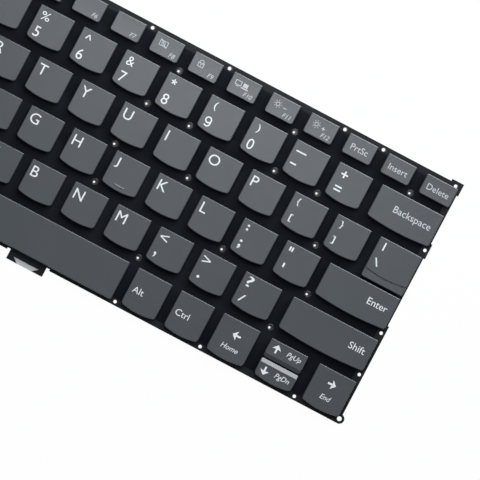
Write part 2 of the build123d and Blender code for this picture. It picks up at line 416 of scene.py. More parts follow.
def choose(piece, kind, test):
    """In edit mode, select only the vertices, edges or faces whose middle passes the test."""
    bpy.ops.mesh.select_mode(type=kind)
    bpy.ops.mesh.select_all(action="DESELECT")
    mesh = bmesh.from_edit_mesh(piece.data)
    groups = {"VERT": mesh.verts, "EDGE": mesh.edges, "FACE": mesh.faces}
    for item in groups[kind]:
        if kind == "VERT":
            middle = item.co
        elif kind == "EDGE":
            middle = (item.verts[0].co + item.verts[1].co) / 2
        else:
            middle = item.calc_center_median()
        item.select_set(test(middle))
    mesh.select_flush_mode()
    bmesh.update_edit_mesh(piece.data)


def finish_with(piece, kind, **settings):
    """Add a modifier to the piece, set it and apply it."""
    only(piece)
    modifier = piece.modifiers.new(kind.lower(), kind)
    for name, value in settings.items():
        setattr(modifier, name, value)
    bpy.ops.object.modifier_apply(modifier=modifier.name)


def pull_up(rise, low_size, high_size, middle):
    """Extrude the selected faces upward and bring them from one plan size to another."""
    bpy.ops.mesh.extrude_region_move(TRANSFORM_OT_translate={"value": (0, 0, rise)})
    share = (high_size[0] / low_size[0], high_size[1] / low_size[1], 1)
    bpy.ops.transform.resize(value=share, center_override=middle)


print("edit-mode helpers ready")

# %% The cap mould
BOW_CUTS = 7
FRONT_RADIUS = 1.1 * MM
REAR_RADIUS = 0.35 * MM
RIM_RADIUS = 0.3 * MM
CAP_DRAFT = 0.03 * MM
CAP_WALL = 0.6 * MM
DISH_DEPTH = 0.04 * MM
DISH_RINGS = 5
SLOPE_REACH = 1.6 * MM
SLOPE_DROP = 0.9 * MM


def plan_of_cap(width, straight, bow):
    """Flat plan of a cap in edit mode, rear edge on y = 0, with a bowed front edge and rounded corners."""
    deselect()
    bpy.ops.mesh.primitive_plane_add(size=1, location=(0, -straight / 2, 0))
    cap = bpy.context.object
    cap.scale = (width, straight, 1)
    settle()
    edit()
    if bow:
        choose(cap, "EDGE", lambda middle: middle.y < -straight + TINY)
        bpy.ops.mesh.subdivide(number_cuts=BOW_CUTS)
        choose(cap, "VERT", lambda middle: abs(middle.x) < TINY and middle.y < -straight + TINY)
        bpy.ops.transform.translate(value=(0, -bow, 0), use_proportional_edit=True,
                                    proportional_edit_falloff="INVERSE_SQUARE",
                                    proportional_size=width / 2)
    choose(cap, "VERT", lambda middle: abs(middle.x) > width / 2 - TINY and middle.y < -straight / 2)
    bpy.ops.mesh.bevel(offset=FRONT_RADIUS, segments=6, affect="VERTICES")
    choose(cap, "VERT", lambda middle: abs(middle.x) > width / 2 - TINY and middle.y > -TINY)
    bpy.ops.mesh.bevel(offset=REAR_RADIUS, segments=4, affect="VERTICES")
    return cap


def mould_cap(width, depth, bow, front_slope=False, rear_slope=False):
    """Hollow cap with its rear edge on y = 0, centred on x = 0 and with its skirt on z = 0."""
    height = cap_top - skirt
    cap = plan_of_cap(width, depth - bow, bow)
    middle = Vector((0, -depth / 2, 0))
    skirt_size = (width, depth)
    top_size = (width - 2 * CAP_DRAFT, depth - 2 * CAP_DRAFT)
    bpy.ops.mesh.select_mode(type="FACE")
    bpy.ops.mesh.select_all(action="SELECT")
    if front_slope or rear_slope:
        pull_up(height - SLOPE_DROP, skirt_size, top_size, middle)
        pull_up(SLOPE_DROP, top_size, top_size, middle)
        shift = SLOPE_REACH if front_slope else -SLOPE_REACH
        edge = -depth + FRONT_RADIUS + CAP_DRAFT if front_slope else -REAR_RADIUS - CAP_DRAFT
        choose(cap, "VERT", lambda point: point.z > height - TINY and (point.y - edge) * shift < 0)
        bpy.ops.transform.translate(value=(0, shift, 0))
    else:
        pull_up(height, skirt_size, top_size, middle)
    choose(cap, "FACE", lambda point: point.z < TINY)
    bpy.ops.mesh.delete(type="ONLY_FACE")
    front_end = -depth + (SLOPE_REACH + FRONT_RADIUS + RIM_RADIUS if front_slope else -RIM_RADIUS)
    rear_end = -(SLOPE_REACH + REAR_RADIUS + RIM_RADIUS) if rear_slope else RIM_RADIUS
    choose(cap, "EDGE", lambda point: point.z > height - TINY and front_end < point.y < rear_end)
    bpy.ops.mesh.bevel(offset=RIM_RADIUS, segments=2, affect="EDGES")
    choose(cap, "FACE", lambda point: point.z > height - TINY)
    ring_size = top_size
    step = min(top_size) / 2 / (DISH_RINGS + 1)
    for ring in range(DISH_RINGS):
        smaller = (ring_size[0] - 2 * step, ring_size[1] - 2 * step)
        before = 1 - ring / (DISH_RINGS + 1)
        after = 1 - (ring + 1) / (DISH_RINGS + 1)
        pull_up(DISH_DEPTH * (after ** 2 - before ** 2), ring_size, smaller, middle)
        ring_size = smaller
    bpy.ops.mesh.select_all(action="SELECT")
    bpy.ops.mesh.normals_make_consistent(inside=False)
    leave()
    finish_with(cap, "SOLIDIFY", thickness=CAP_WALL, offset=-1, use_even_offset=True)
    smooth(20)
    return cap


print("cap mould ready, rim radius:", RIM_RADIUS / MM, "mm")

# %% One mould for each size, a copy for each key
CAP_BOW = 1.0 * MM
STEEPEST_RIM, FLATTEST_RIM = 0.2, 0.98  # upward share of a rim face's normal
FUNCTION_ROW = "esc f1 f2 f3 f4 f5 f6 f7 f8 f9 f10 f11 f12 print_screen insert delete".split()
STRAIGHT_FRONTS = FUNCTION_ROW + ["space", "backslash", "up"]
moulds = {}
caps = {}
for name, (low, high) in keys.items():
    bow = 0 if name in STRAIGHT_FRONTS else CAP_BOW
    width = high.x - low.x
    depth = high.y - low.y
    front_slope = name == "up"
    rear_slope = name == "down"
    size = (round(width, 5), round(depth, 5), bow, front_slope, rear_slope)
    if size not in moulds:
        moulds[size] = mould_cap(width, depth, bow, front_slope, rear_slope)
    cap = copy_of(moulds[size].data, "cap_" + name, ((low.x + high.x) / 2, high.y, skirt))
    cap.data.materials.append(cap_plastic)
    cap.data.materials.append(edge_plastic)
    # Rim and slope faces get the lighter edge plastic, a painted highlight on the rims.
    for face in cap.data.polygons:
        face.material_index = int(STEEPEST_RIM < face.normal.z < FLATTEST_RIM)
    caps[name] = cap
discard(moulds.values())
print("moulds:", len(moulds), "caps:", len(caps), "faces on one cap:", len(caps["k"].data.polygons))

# %% [markdown]
# ## Groove and home bars
# One cap at the end of the upper row is longer than its neighbours, and a curved groove repeats the front
# edge of the other caps on it. A tube along a curve, taken away with a boolean, cuts it. Two caps carry a
# small raised bar that fingers find by touch: a cube whose rear side is made a slope, joined to the cap.

# %% Groove across the long cap
GROOVE_RADIUS = 0.36 * MM
GROOVE_SINK = 0.2 * MM
GROOVE_OVERRUN = 0.5 * MM
STANDARD_DEPTH = 13.6 * MM

low, high = keys["backslash"]
groove_half = (high.x - low.x) / 2
deselect()
groove_place = ((low.x + high.x) / 2, high.y - STANDARD_DEPTH, cap_top - GROOVE_SINK)
bpy.ops.curve.primitive_bezier_curve_add(location=groove_place)
groove = bpy.context.object
groove_end = groove_half + GROOVE_OVERRUN
groove_sag = CAP_BOW * (groove_end / groove_half) ** 2
end_level = groove_sag - CAP_BOW
for point, side in zip(groove.data.splines[0].bezier_points, (-1, 1)):
    point.handle_left_type = point.handle_right_type = "FREE"
    point.co = (side * groove_end, end_level, 0)
    inner = (side * groove_end / 3, end_level - groove_sag * 4 / 3, 0)
    outer = (side * groove_end * 5 / 3, end_level + groove_sag * 4 / 3, 0)
    point.handle_left = outer if side < 0 else inner
    point.handle_right = inner if side < 0 else outer
groove.data.bevel_depth = GROOVE_RADIUS
groove.data.bevel_resolution = 3
groove.data.use_fill_caps = True
bpy.ops.object.convert(target="MESH")
settle()
edit()
bpy.ops.mesh.select_all(action="SELECT")
bpy.ops.mesh.remove_doubles(threshold=TINY)
bpy.ops.mesh.normals_make_consistent(inside=False)
leave()
finish_with(caps["backslash"], "BOOLEAN", operation="DIFFERENCE", object=groove, solver="EXACT",
            use_self=True)
discard([groove])
smooth(40)
print("faces on the grooved cap:", len(caps["backslash"].data.polygons))

# %% Home bars
BAR_SIZE = (4.4 * MM, 1.1 * MM, 0.4 * MM)
BAR_SLOPE = 0.7 * MM
BAR_ROUNDING = 0.05 * MM
BAR_SETBACK = 2.2 * MM


def join(main, others):
    """Join other objects into the main one."""
    only(main)
    for other in others:
        other.select_set(True)
    bpy.ops.object.join()
    return main


bar_top = right_keys["j"][1].z
for name in ("f", "j"):
    low, high = keys[name]
    deselect()
    spot = ((low.x + high.x) / 2, low.y + BAR_SETBACK, bar_top - BAR_SIZE[2] / 2)
    bpy.ops.mesh.primitive_cube_add(size=1, location=spot)
    bar = bpy.context.object
    bar.scale = BAR_SIZE
    settle()
    edit()
    choose(bar, "VERT", lambda point: point.z > spot[2] and point.y > spot[1])
    bpy.ops.transform.translate(value=(0, -BAR_SLOPE, 0))
    leave()
    finish_with(bar, "BEVEL", width=BAR_ROUNDING, segments=2)
    smooth(20)
    # The bar takes the same lighter plastic, a painted highlight along its slope.
    bar.data.materials.append(edge_plastic)
    join(caps[name], [bar])
print("home bars on f and j, top at", round(bar_top / MM, 2), "mm")

# %% [markdown]
# ## Legends
# The print on each cap is ordinary: letters, figures, signs and the usual words. It could be painted by a
# mask, but real outlines stay sharp at any distance. Words and most signs are text objects, and the plain
# ones are drawn from bars, rings and frames. They are made flat, joined for each key, dropped on the cap
# by a shrinkwrap and given the ink's thickness.

# %% Flat shapes for the print
def flat_shape(piece, x, y, turn=0.0):
    """Turn a flat shape and put it at a place in the cap's own plan."""
    only(piece)
    piece.rotation_euler = (0, 0, turn)
    piece.location = (x, y, 0)
    settle()
    return piece


def flat_text(text, size, slant=0.0, weight=0.0):
    """Flat mesh of a text at the origin."""
    deselect()
    bpy.ops.object.text_add()
    letters = bpy.context.object.data
    letters.body = text
    letters.size = size
    letters.shear = slant
    letters.offset = weight
    letters.resolution_u = 4
    bpy.ops.object.convert(target="MESH")
    return bpy.context.object


def text_shape(text, x, baseline, height, align="LEFT", slant=0.0, fit=False):
    """Flat word whose capitals have the given height, or which is fitted to that height as a whole."""
    piece = flat_text(text, height / CAPITAL_SHARE, slant=slant)
    low, high = box_of(piece)
    anchor = {"LEFT": low.x, "CENTER": (low.x + high.x) / 2, "RIGHT": high.x}[align]
    if fit:
        piece.scale.y = height / (high.y - low.y)
        baseline -= low.y * piece.scale.y
    return flat_shape(piece, x - anchor, baseline)


def sign_shape(text, x, y, width, height, weight=0.0):
    """Flat sign that fills a box about its middle."""
    piece = flat_text(text, height, weight=weight)
    low, high = box_of(piece)
    piece.scale = (width / (high.x - low.x), height / (high.y - low.y), 1)
    middle = (low + high) / 2
    return flat_shape(piece, x - middle.x * piece.scale.x, y - middle.y * piece.scale.y)


def bar_shape(x, y, length, width, turn=0.0):
    """Flat bar about its middle."""
    deselect()
    bpy.ops.mesh.primitive_plane_add(size=1)
    piece = bpy.context.object
    piece.scale = (length, width, 1)
    return flat_shape(piece, x, y, turn)


def hollow_out(piece, line, x, y):
    """Leave only the outer line of the active flat shape and put it at a place."""
    edit()
    bpy.ops.mesh.select_all(action="SELECT")
    bpy.ops.mesh.inset(thickness=line)
    bpy.ops.mesh.delete(type="FACE")
    leave()
    return flat_shape(piece, x, y)


def ring_shape(x, y, radius, line, sides=20):
    """Flat ring about its middle."""
    deselect()
    bpy.ops.mesh.primitive_circle_add(vertices=sides, radius=radius, fill_type="NGON")
    piece = bpy.context.object
    return hollow_out(piece, line, x, y)


def frame_shape(x, y, width, height, line):
    """Flat rectangular frame about its middle."""
    piece = bar_shape(0, 0, width, height)
    return hollow_out(piece, line, x, y)


def arc_shape(x, y, radius, line, first, last):
    """Part of a flat ring between two angles in degrees."""
    arc = ring_shape(0, 0, radius, line, 40)
    edit()
    choose(arc, "FACE", lambda middle: not first < math.degrees(math.atan2(middle.y, middle.x)) < last)
    bpy.ops.mesh.delete(type="FACE")
    leave()
    return flat_shape(arc, x, y)


def arrow_shape(x, y, length, turn):
    """Flat arrow with a notched head that points along +X before its turn."""
    shaft = bar_shape(-0.15 * length, 0, 0.7 * length, 0.21 * length)
    deselect()
    bpy.ops.mesh.primitive_circle_add(vertices=4, radius=0.54 * length, fill_type="NGON")
    head = bpy.context.object
    edit()
    choose(head, "VERT", lambda point: point.x < -0.2 * length)
    bpy.ops.transform.translate(value=(0.62 * length, 0, 0))
    leave()
    flat_shape(head, -0.04 * length, 0)
    return flat_shape(join(shaft, [head]), x, y, turn)


sample = flat_text("H", 1.0)
sample_low, sample_high = box_of(sample)
CAPITAL_SHARE = sample_high.y - sample_low.y
discard([sample])
print("a capital stands", round(CAPITAL_SHARE, 3), "of the type size")

# %% Places of the print, in millimetres from a cap's rear left corner
LETTER = {"x": 1.7, "baseline": -6.4, "height": 4.3}
FIGURE = {"x": 2.15, "baseline": -12.6, "height": 4.2}
SLANT = 0.22
SMALL = {"height": 1.75, "slant": SLANT}
FIGURES = dict(zip("1234567890", "!@#$%^&*()"))
SIGN_BOXES = {
    "!": (3.6, -3.7, 0.7, 3.6), "@": (3.8, -3.7, 3.7, 3.7), "#": (3.7, -3.7, 3.3, 3.6),
    "$": (3.6, -3.7, 2.5, 4.2), "%": (3.8, -3.7, 3.7, 3.5), "^": (3.6, -3.0, 2.6, 2.0),
    "&": (3.7, -3.7, 3.2, 3.7), "(": (3.6, -3.75, 1.3, 3.8), ")": (3.6, -3.75, 1.3, 3.8),
    "{": (3.05, -3.35, 1.3, 3.2), "}": (3.35, -3.45, 1.3, 3.2), "[": (3.15, -10.4, 1.25, 3.2),
    "]": (2.95, -10.2, 1.25, 3.2), "|": (3.2, -3.2, 0.6, 3.4), "\\": (3.2, -10.0, 2.4, 3.1),
    ":": (2.9, -3.2, 1.05, 2.7), ";": (2.95, -10.4, 1.25, 3.9), ",": (2.85, -11.1, 1.0, 2.3),
    "<": (3.35, -3.5, 3.4, 2.9), ".": (3.1, -10.8, 1.15, 1.15), ">": (3.25, -3.5, 3.4, 2.9),
    "/": (3.35, -10.2, 2.4, 3.1), "?": (3.4, -3.15, 2.6, 4.3), "`": (2.8, -9.6, 1.2, 1.2),
    "~": (3.6, -3.6, 3.2, 1.1),
}
BOLD_SIGNS = {":": 0.14, ";": 0.14}
SIGNS = {"bracket_open": "[{", "bracket_close": "]}", "backslash": "\\|", "semicolon": ";:", "comma": ",<",
         "period": ".>", "slash": "/?", "grave": "`~"}
RIGHT_WORDS = {"enter": ("Enter", -7.6), "shift_right": ("Shift", -7.9)}
LEFT_WORDS = {"tab": "Tab", "caps": "CapsLk", "shift_left": "Shift"}
LOW_WORDS = {"ctrl_left": "Ctrl", "fn": "Fn", "alt_left": "Alt", "alt_right": "Alt", "ctrl_right": "Ctrl"}
MIDDLE_WORDS = {"esc": "Esc", "print_screen": "PrtSc", "insert": "Insert", "delete": "Delete"}
ARROWS = {
    "left": (8.6, -5.9, math.pi, "Home", 8.3, -12.4),
    "right": (8.2, -5.4, 0.0, "End", 8.3, -12.2),
    "up": (3.8, -3.2, math.pi / 2, "PgUp", 11.4, -4.0),
    "down": (3.4, -4.4, -math.pi / 2, "PgDn", 11.0, -5.0),
}
BAR_SIGNS = {
    "quote": [(3.2, -9.55, 0.72, 1.8), (2.55, -2.6, 0.66, 1.8), (3.55, -2.6, 0.66, 1.8)],
    "minus": [(3.95, -4.2, 4.4, 0.55), (3.0, -9.5, 2.6, 0.6)],
    "equals": [(4.1, -3.9, 2.9, 0.6), (4.1, -3.9, 0.6, 2.9), (4.1, -9.2, 3.0, 0.6),
               (4.1, -10.65, 3.0, 0.6)],
}
WORD_MARGIN = 2.6
WORD_HEIGHT, LOW_HEIGHT, MIDDLE_HEIGHT, SECOND_HEIGHT = 2.75, 2.6, 2.45, 2.0
print("signs with a place of their own:", len(SIGN_BOXES))


# %% Drawn signs and pictograms
def word(text, x, baseline, height, **style):
    """Text with its place and height in millimetres."""
    return text_shape(text, x * MM, baseline * MM, height * MM, **style)


def sign(text):
    """Sign at its own place on a cap."""
    x, y, width, height = SIGN_BOXES[text]
    return sign_shape(text, x * MM, y * MM, width * MM, height * MM, BOLD_SIGNS.get(text, 0.0) * MM)


def mm_bar(x, y, length, width, turn=0.0):
    """Bar with its place and size in millimetres."""
    return bar_shape(x * MM, y * MM, length * MM, width * MM, turn)


def star(x, y, reach):
    """Five short strokes about a middle."""
    turns = [math.radians(90 + 72 * step) for step in range(5)]
    return [mm_bar(x + reach / 2 * math.cos(turn), y + reach / 2 * math.sin(turn), reach, 0.52, turn)
            for turn in turns]


def nine(x, baseline, height):
    """Figure with a round bowl and a round tail."""
    radius = 0.335 * height
    line = 0.13 * height
    return [ring_shape((x + radius) * MM, (baseline + height - radius) * MM, radius * MM, line * MM, 32),
            mm_bar(x + 2 * radius - line / 2, baseline + height / 2, line, height - 2 * radius),
            arc_shape((x + radius) * MM, (baseline + radius) * MM, radius * MM, line * MM, -145, 2)]


def sun_icon(x, y, mark):
    """Ring with eight rays, and a plus or a minus beside it."""
    parts = [ring_shape(x * MM, y * MM, 0.85 * MM, 0.24 * MM)]
    for step in range(8):
        turn = step * math.pi / 4
        parts.append(mm_bar(x + 1.4 * math.cos(turn), y + 1.4 * math.sin(turn), 0.55, 0.22, turn))
    parts.append(mm_bar(x + 3.2, y - 0.5, 1.5, 0.3))
    if mark == "+":
        parts.append(mm_bar(x + 3.2, y - 0.5, 0.3, 1.5))
    return parts


def camera_icon(x, y):
    """Camera body with a lens, crossed out."""
    return [frame_shape(x * MM, y * MM, 3.5 * MM, 2.4 * MM, 0.24 * MM),
            ring_shape((x - 0.1) * MM, (y - 0.05) * MM, 0.8 * MM, 0.22 * MM),
            mm_bar(x, y, 4.3, 0.28, math.radians(-42))]


def padlock_icon(x, y):
    """Closed padlock."""
    return [frame_shape(x * MM, (y - 0.6) * MM, 2.5 * MM, 1.9 * MM, 0.26 * MM),
            ring_shape(x * MM, (y + 0.55) * MM, 0.95 * MM, 0.24 * MM),
            mm_bar(x, y - 0.6, 0.28, 0.8)]


def displays_icon(x, y):
    """Display beside an open portable computer."""
    return [frame_shape((x - 1.4) * MM, y * MM, 2.7 * MM, 2.0 * MM, 0.26 * MM),
            mm_bar(x - 1.4, y - 1.35, 1.4, 0.28),
            mm_bar(x + 1.7, y + 0.05, 2.0, 1.6),
            mm_bar(x + 1.7, y - 1.25, 3.0, 0.5)]


ICONS = {"f8": lambda: camera_icon(4.5, -3.5), "f9": lambda: padlock_icon(4.1, -3.5),
         "f10": lambda: displays_icon(4.8, -3.3), "f11": lambda: sun_icon(3.8, -3.4, "-"),
         "f12": lambda: sun_icon(3.8, -3.4, "+")}
print("keys with a pictogram:", len(ICONS))


# %% Print of one key
def inked(ink, *shapes):
    """Pairs of a flat shape and its ink."""
    return [(shape, ink) for shape in shapes]


def print_of(name, width):
    """Flat shapes of a key's print with their inks, in the plan of its rear left corner."""
    if len(name) == 1 and name.isalpha():
        return inked(legend_ink, word(name.upper(), **LETTER, fit=name != "q"))
    if name == "8":
        return inked(legend_ink, word(name, **FIGURE), *star(3.6, -2.9, 1.12))
    if name == "9":
        return inked(legend_ink, *nine(**FIGURE), sign(FIGURES[name]))
    if name in FIGURES:
        return inked(legend_ink, word(name, **FIGURE), sign(FIGURES[name]))
    if name in SIGNS:
        return inked(legend_ink, *[sign(character) for character in SIGNS[name]])
    if name in BAR_SIGNS:
        return inked(legend_ink, *[mm_bar(*bar) for bar in BAR_SIGNS[name]])
    if name in RIGHT_WORDS:
        text, baseline = RIGHT_WORDS[name]
        return inked(legend_ink, word(text, width - WORD_MARGIN, baseline, WORD_HEIGHT, align="RIGHT"))
    if name == "backspace":
        label = word("Backspace", width - WORD_MARGIN, -8.0, WORD_HEIGHT, align="RIGHT")
        return inked(second_ink, label)
    if name in LEFT_WORDS:
        return inked(legend_ink, word(LEFT_WORDS[name], 2.3, -7.9, WORD_HEIGHT))
    if name in LOW_WORDS:
        return inked(legend_ink, word(LOW_WORDS[name], 1.8, -9.7, LOW_HEIGHT))
    if name in MIDDLE_WORDS:
        label = word(MIDDLE_WORDS[name], width / 2, -5.7, MIDDLE_HEIGHT, align="CENTER")
        return inked(faint_ink, label)
    if name in ARROWS:
        x, y, turn, second, word_x, baseline = ARROWS[name]
        label = word(second, word_x, baseline, SECOND_HEIGHT, align="CENTER", slant=SLANT)
        return inked(legend_ink, arrow_shape(x * MM, y * MM, 3.55 * MM, turn), label)
    if name in FUNCTION_ROW:
        icon = ICONS[name]() if name in ICONS else []
        return inked(faint_ink, *icon, word(name.upper(), width - 1.7, -7.25, align="RIGHT", **SMALL))
    return []


print("inks in use:", legend_ink.name, second_ink.name, faint_ink.name)

# %% Print every key
INK_HEIGHT = 0.02 * MM
PRINT_LIFT = 1.0 * MM

legends = {}
for name, (low, high) in keys.items():
    shapes = print_of(name, (high.x - low.x) / MM)
    if not shapes:
        continue
    for piece, ink in shapes:
        piece.data.materials.clear()
        piece.data.materials.append(ink)
    legend = join(shapes[0][0], [piece for piece, ink in shapes[1:]])
    legend.name = "legend_" + name
    legend.data.transform(Matrix.Translation((low.x, high.y, cap_top + PRINT_LIFT)))
    finish_with(legend, "SHRINKWRAP", target=caps[name], wrap_method="PROJECT", use_project_z=True,
                use_negative_direction=True, use_positive_direction=False)
    finish_with(legend, "SOLIDIFY", thickness=INK_HEIGHT, offset=1)
    legends[name] = legend
print_faces = sum(len(piece.data.polygons) for piece in legends.values())
print("printed keys:", len(legends), "faces of print:", print_faces)

# %% [markdown]
# ## What carries the caps
# Under each cap a rubber dome closes the switch and two crossed levers keep the cap level. The levers are
# taken from the frame, where they have their true tilt, and get rounded edges. A dome is modelled once, as
# a flange with a cone and a soft shoulder, and copied. Dome and levers of a key are joined in one piece.

# %% A dome
DOME_SIDES = 20
FLANGE_SHARE = 0.12


def soft_dome(base, crown, height):
    """Rubber dome on z = 0 with a flange and a rounded shoulder."""
    flange = FLANGE_SHARE * height
    deselect()
    bpy.ops.mesh.primitive_cylinder_add(vertices=DOME_SIDES, radius=base, depth=flange,
                                        location=(0, 0, flange / 2))
    dome = bpy.context.object
    settle()
    edit()
    choose(dome, "FACE", lambda point: point.z > 0.9 * flange)
    radius = base
    for next_radius, rise in ((0.8 * base, 0.0), (0.752 * base, 0.5), (crown, 0.28), (0.86 * crown, 0.1)):
        bpy.ops.mesh.extrude_region_move(TRANSFORM_OT_translate={"value": (0, 0, rise * height)})
        share = next_radius / radius
        bpy.ops.transform.resize(value=(share, share, 1), center_override=(0, 0, 0))
        radius = next_radius
    leave()
    smooth(50)
    dome.data.materials.append(dome_rubber)
    return dome


dome_parts = split_copy("rubber_domes")
dome_boxes = [box_of(part) for part in dome_parts]
discard(dome_parts)
dome_height = dome_boxes[0][1].z - dome_boxes[0][0].z
wide_base = max(high.x - low.x for low, high in dome_boxes) / 2
small_base = min(high.x - low.x for low, high in dome_boxes) / 2
dome_moulds = {
    "wide": soft_dome(wide_base, 0.6 * wide_base, dome_height),
    "small": soft_dome(small_base, 0.66 * small_base, dome_height),
}
print("domes:", len(dome_boxes), "height:", round(dome_height / MM, 2), "mm")

# %% Levers and wire from the frame
LEVER_ROUNDING = 0.1 * MM
WIRE_ROUNDING = 0.08 * MM


def softened(parts, width, finish):
    """Round the edges of parts taken from the frame and give them a finish."""
    for part in parts:
        only(part)
        edit()
        bpy.ops.mesh.select_all(action="SELECT")
        bpy.ops.mesh.dissolve_limited(angle_limit=math.radians(1))
        leave()
        finish_with(part, "BEVEL", width=width, segments=2, limit_method="ANGLE")
        smooth(40)
        part.data.materials.clear()
        part.data.materials.append(finish)
    return parts


levers = split_copy("outer_levers") + split_copy("inner_levers")
lever_parts = softened(levers, LEVER_ROUNDING, lever_plastic)
wire_parts = softened(split_copy("stabiliser_bars"), WIRE_ROUNDING, bar_wire)
print("levers:", len(lever_parts), "wire bars:", len(wire_parts))


# %% Gather the carriers of each key
def key_above(low, high):
    """Name of the key whose box lies over the middle of a box."""
    middle = (low + high) / 2
    for name, (key_low, key_high) in keys.items():
        if key_low.x < middle.x < key_high.x and key_low.y < middle.y < key_high.y:
            return name
    raise ValueError("no key above this part")


carriers = {name: [] for name in keys}
for low, high in dome_boxes:
    name = key_above(low, high)
    size = "wide" if high.x - low.x > wide_base + small_base else "small"
    place = ((low.x + high.x) / 2, (low.y + high.y) / 2, sheet_top)
    carriers[name].append(copy_of(dome_moulds[size].data, "dome_" + name, place))
for part in lever_parts + wire_parts:
    carriers[key_above(*box_of(part))].append(part)
print("keys with carriers:", sum(1 for parts in carriers.values() if parts))

# %% Carriers of the joined hand
left_carriers = []
for name, (low, high) in left_keys.items():
    model = "f9" if name in FUNCTION_ROW else "k"
    model_low, model_high = keys[model]
    shift = Vector(((low.x + high.x - model_low.x - model_high.x) / 2, high.y - model_high.y, 0))
    left_carriers += [copy_of(part.data, part.name, shift) for part in carriers[model]]
print("parts under the joined hand:", len(left_carriers))

# %% [markdown]
# ## Put the pieces on their bodies
# A cap and its print ride on the key's own body, which the frame lets travel straight down. What carries
# the cap stays on the board. The caps of the other hand have no travel in the frame, so they, their print
# and their carriers are joined and ride on the board.

# %% Ride on the bodies
for name in right_keys:
    cap = caps[name]
    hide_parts("key_" + name)
    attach(cap, "key_" + name)
    if name in legends:
        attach(legends[name], "key_" + name)
    carrier = join(carriers[name][0], carriers[name][1:])
    carrier.name = "carrier_" + name
    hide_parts("rubber_domes", "outer_levers", "inner_levers")
    if any(slot.material == bar_wire for slot in carrier.material_slots):
        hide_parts("stabiliser_bars")
    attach(carrier, "board")
    "press_" + name
    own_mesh(carrier)

# %% The joined hand
left_caps = join(caps["a"], [caps[name] for name in left_keys if name != "a"])
left_caps.name = "left_caps"
left_print = [legends[name] for name in left_keys if name in legends]
left_legends = join(left_print[0], left_print[1:])
left_legends.name = "left_legends"
left_supports = join(left_carriers[0], left_carriers[1:])
left_supports.name = "left_carriers"
for piece, slot in ((left_caps, "cap"), (left_legends, "cap"), (left_supports, "lever")):
    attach(piece, "board")
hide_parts("left_hand_keys")
discard(dome_moulds.values())
print("joined hand, faces of caps:", len(left_caps.data.polygons))
print("joined hand, faces of print:", len(left_legends.data.polygons))

# %% [markdown]
# ## Plate, switch sheet and film
# The plate and the film are flat stamped or cut sheets. The frame has their true outline and holes, so
# they keep their solids and only get a finish. The switch sheet is cut out round the inner screw holes,
# and a low collar of the plate stands in each cut-out. The holes are found in the frame by their walls,
# and the round cut-outs are cut anew. A thin dark lip low in a hole, with its bore out of the middle, is
# painted shadow: it hides the part of the floor under the hole that the plate's shadow would darken.

# %% Finish the plate and the film
WIDEST_CUTOUT = 5.0 * MM

for node, finish in (("base_plate", plate_coat), ("tail_film", tail_grey)):
    flat = frame["nodes"][node]
    flat.data.materials.clear()
    flat.data.materials.append(finish)


def openings(node, widest):
    """Middles of the openings in a flat node that are no wider than a limit."""
    mesh = bmesh.new()
    mesh.from_mesh(frame["nodes"][node].data)
    bmesh.ops.remove_doubles(mesh, verts=mesh.verts, dist=MERGE)
    walls = {face for face in mesh.faces if abs(face.normal.z) < 0.2}
    middles = []
    while walls:
        group = [walls.pop()]
        for face in group:
            joined = {other for edge in face.edges for other in edge.link_faces} & walls
            walls -= joined
            group += joined
        across = [vertex.co.x for face in group for vertex in face.verts]
        along = [vertex.co.y for face in group for vertex in face.verts]
        if max(across) - min(across) < widest:
            middles.append(((max(across) + min(across)) / 2, (max(along) + min(along)) / 2))
    mesh.free()
    return sorted(middles)


inner_holes = openings("membrane", WIDEST_CUTOUT)
print("inner screw holes:", len(inner_holes))

# %% Switch sheet with round cut-outs
CUTOUT_RADIUS = 1.7 * MM
CUTTER_HEIGHT = 2.0 * MM
SHEET_ROUNDING = 0.04 * MM
ROUND_SIDES = 28


def copies_at(piece, places):
    """One object with a copy of a piece at each place in plan."""
    made = [copy_of(piece.data, piece.name, (x, y, 0)) for x, y in places]
    return join(made[0], made[1:])


sheet_low, sheet_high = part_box("membrane")
deselect()
bpy.ops.mesh.primitive_cube_add(size=1, location=(sheet_low + sheet_high) / 2)
sheet = bpy.context.object
sheet.name = "switch_sheet"
sheet.scale = sheet_high - sheet_low
settle()
bpy.ops.mesh.primitive_cylinder_add(vertices=ROUND_SIDES, radius=CUTOUT_RADIUS, depth=CUTTER_HEIGHT,
                                    location=(0, 0, sheet_high.z))
cutter = bpy.context.object
settle()
cutters = copies_at(cutter, inner_holes)
finish_with(sheet, "BOOLEAN", operation="DIFFERENCE", object=cutters, solver="EXACT")
finish_with(sheet, "BEVEL", width=SHEET_ROUNDING, segments=2, limit_method="ANGLE",
            angle_limit=math.radians(60))
smooth(40)
discard([cutter, cutters])
sheet.data.materials.append(sheet_film)
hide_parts("membrane")
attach(sheet, "board")
print("switch sheet faces:", len(sheet.data.polygons))

# %% A turned ring
def turned_ring(section):
    """Closed ring whose section runs through pairs of radius and height in millimetres."""
    profile = [(radius * MM, level * MM) for radius, level in section]
    radius, level = profile[0]
    deselect()
    bpy.ops.mesh.primitive_circle_add(vertices=ROUND_SIDES, radius=radius, location=(0, 0, level))
    ring = bpy.context.object
    settle()
    edit()
    bpy.ops.mesh.select_mode(type="VERT")
    bpy.ops.mesh.select_all(action="SELECT")
    for next_radius, next_level in profile[1:] + profile[:1]:
        bpy.ops.mesh.extrude_region_move(TRANSFORM_OT_translate={"value": (0, 0, next_level - level)})
        share = next_radius / radius
        bpy.ops.transform.resize(value=(share, share, 1), center_override=(0, 0, 0))
        radius, level = next_radius, next_level
    bpy.ops.mesh.select_all(action="SELECT")
    bpy.ops.mesh.remove_doubles(threshold=MERGE)
    bpy.ops.mesh.normals_make_consistent(inside=False)
    leave()
    smooth(50)
    return ring


print("ring sides:", ROUND_SIDES)
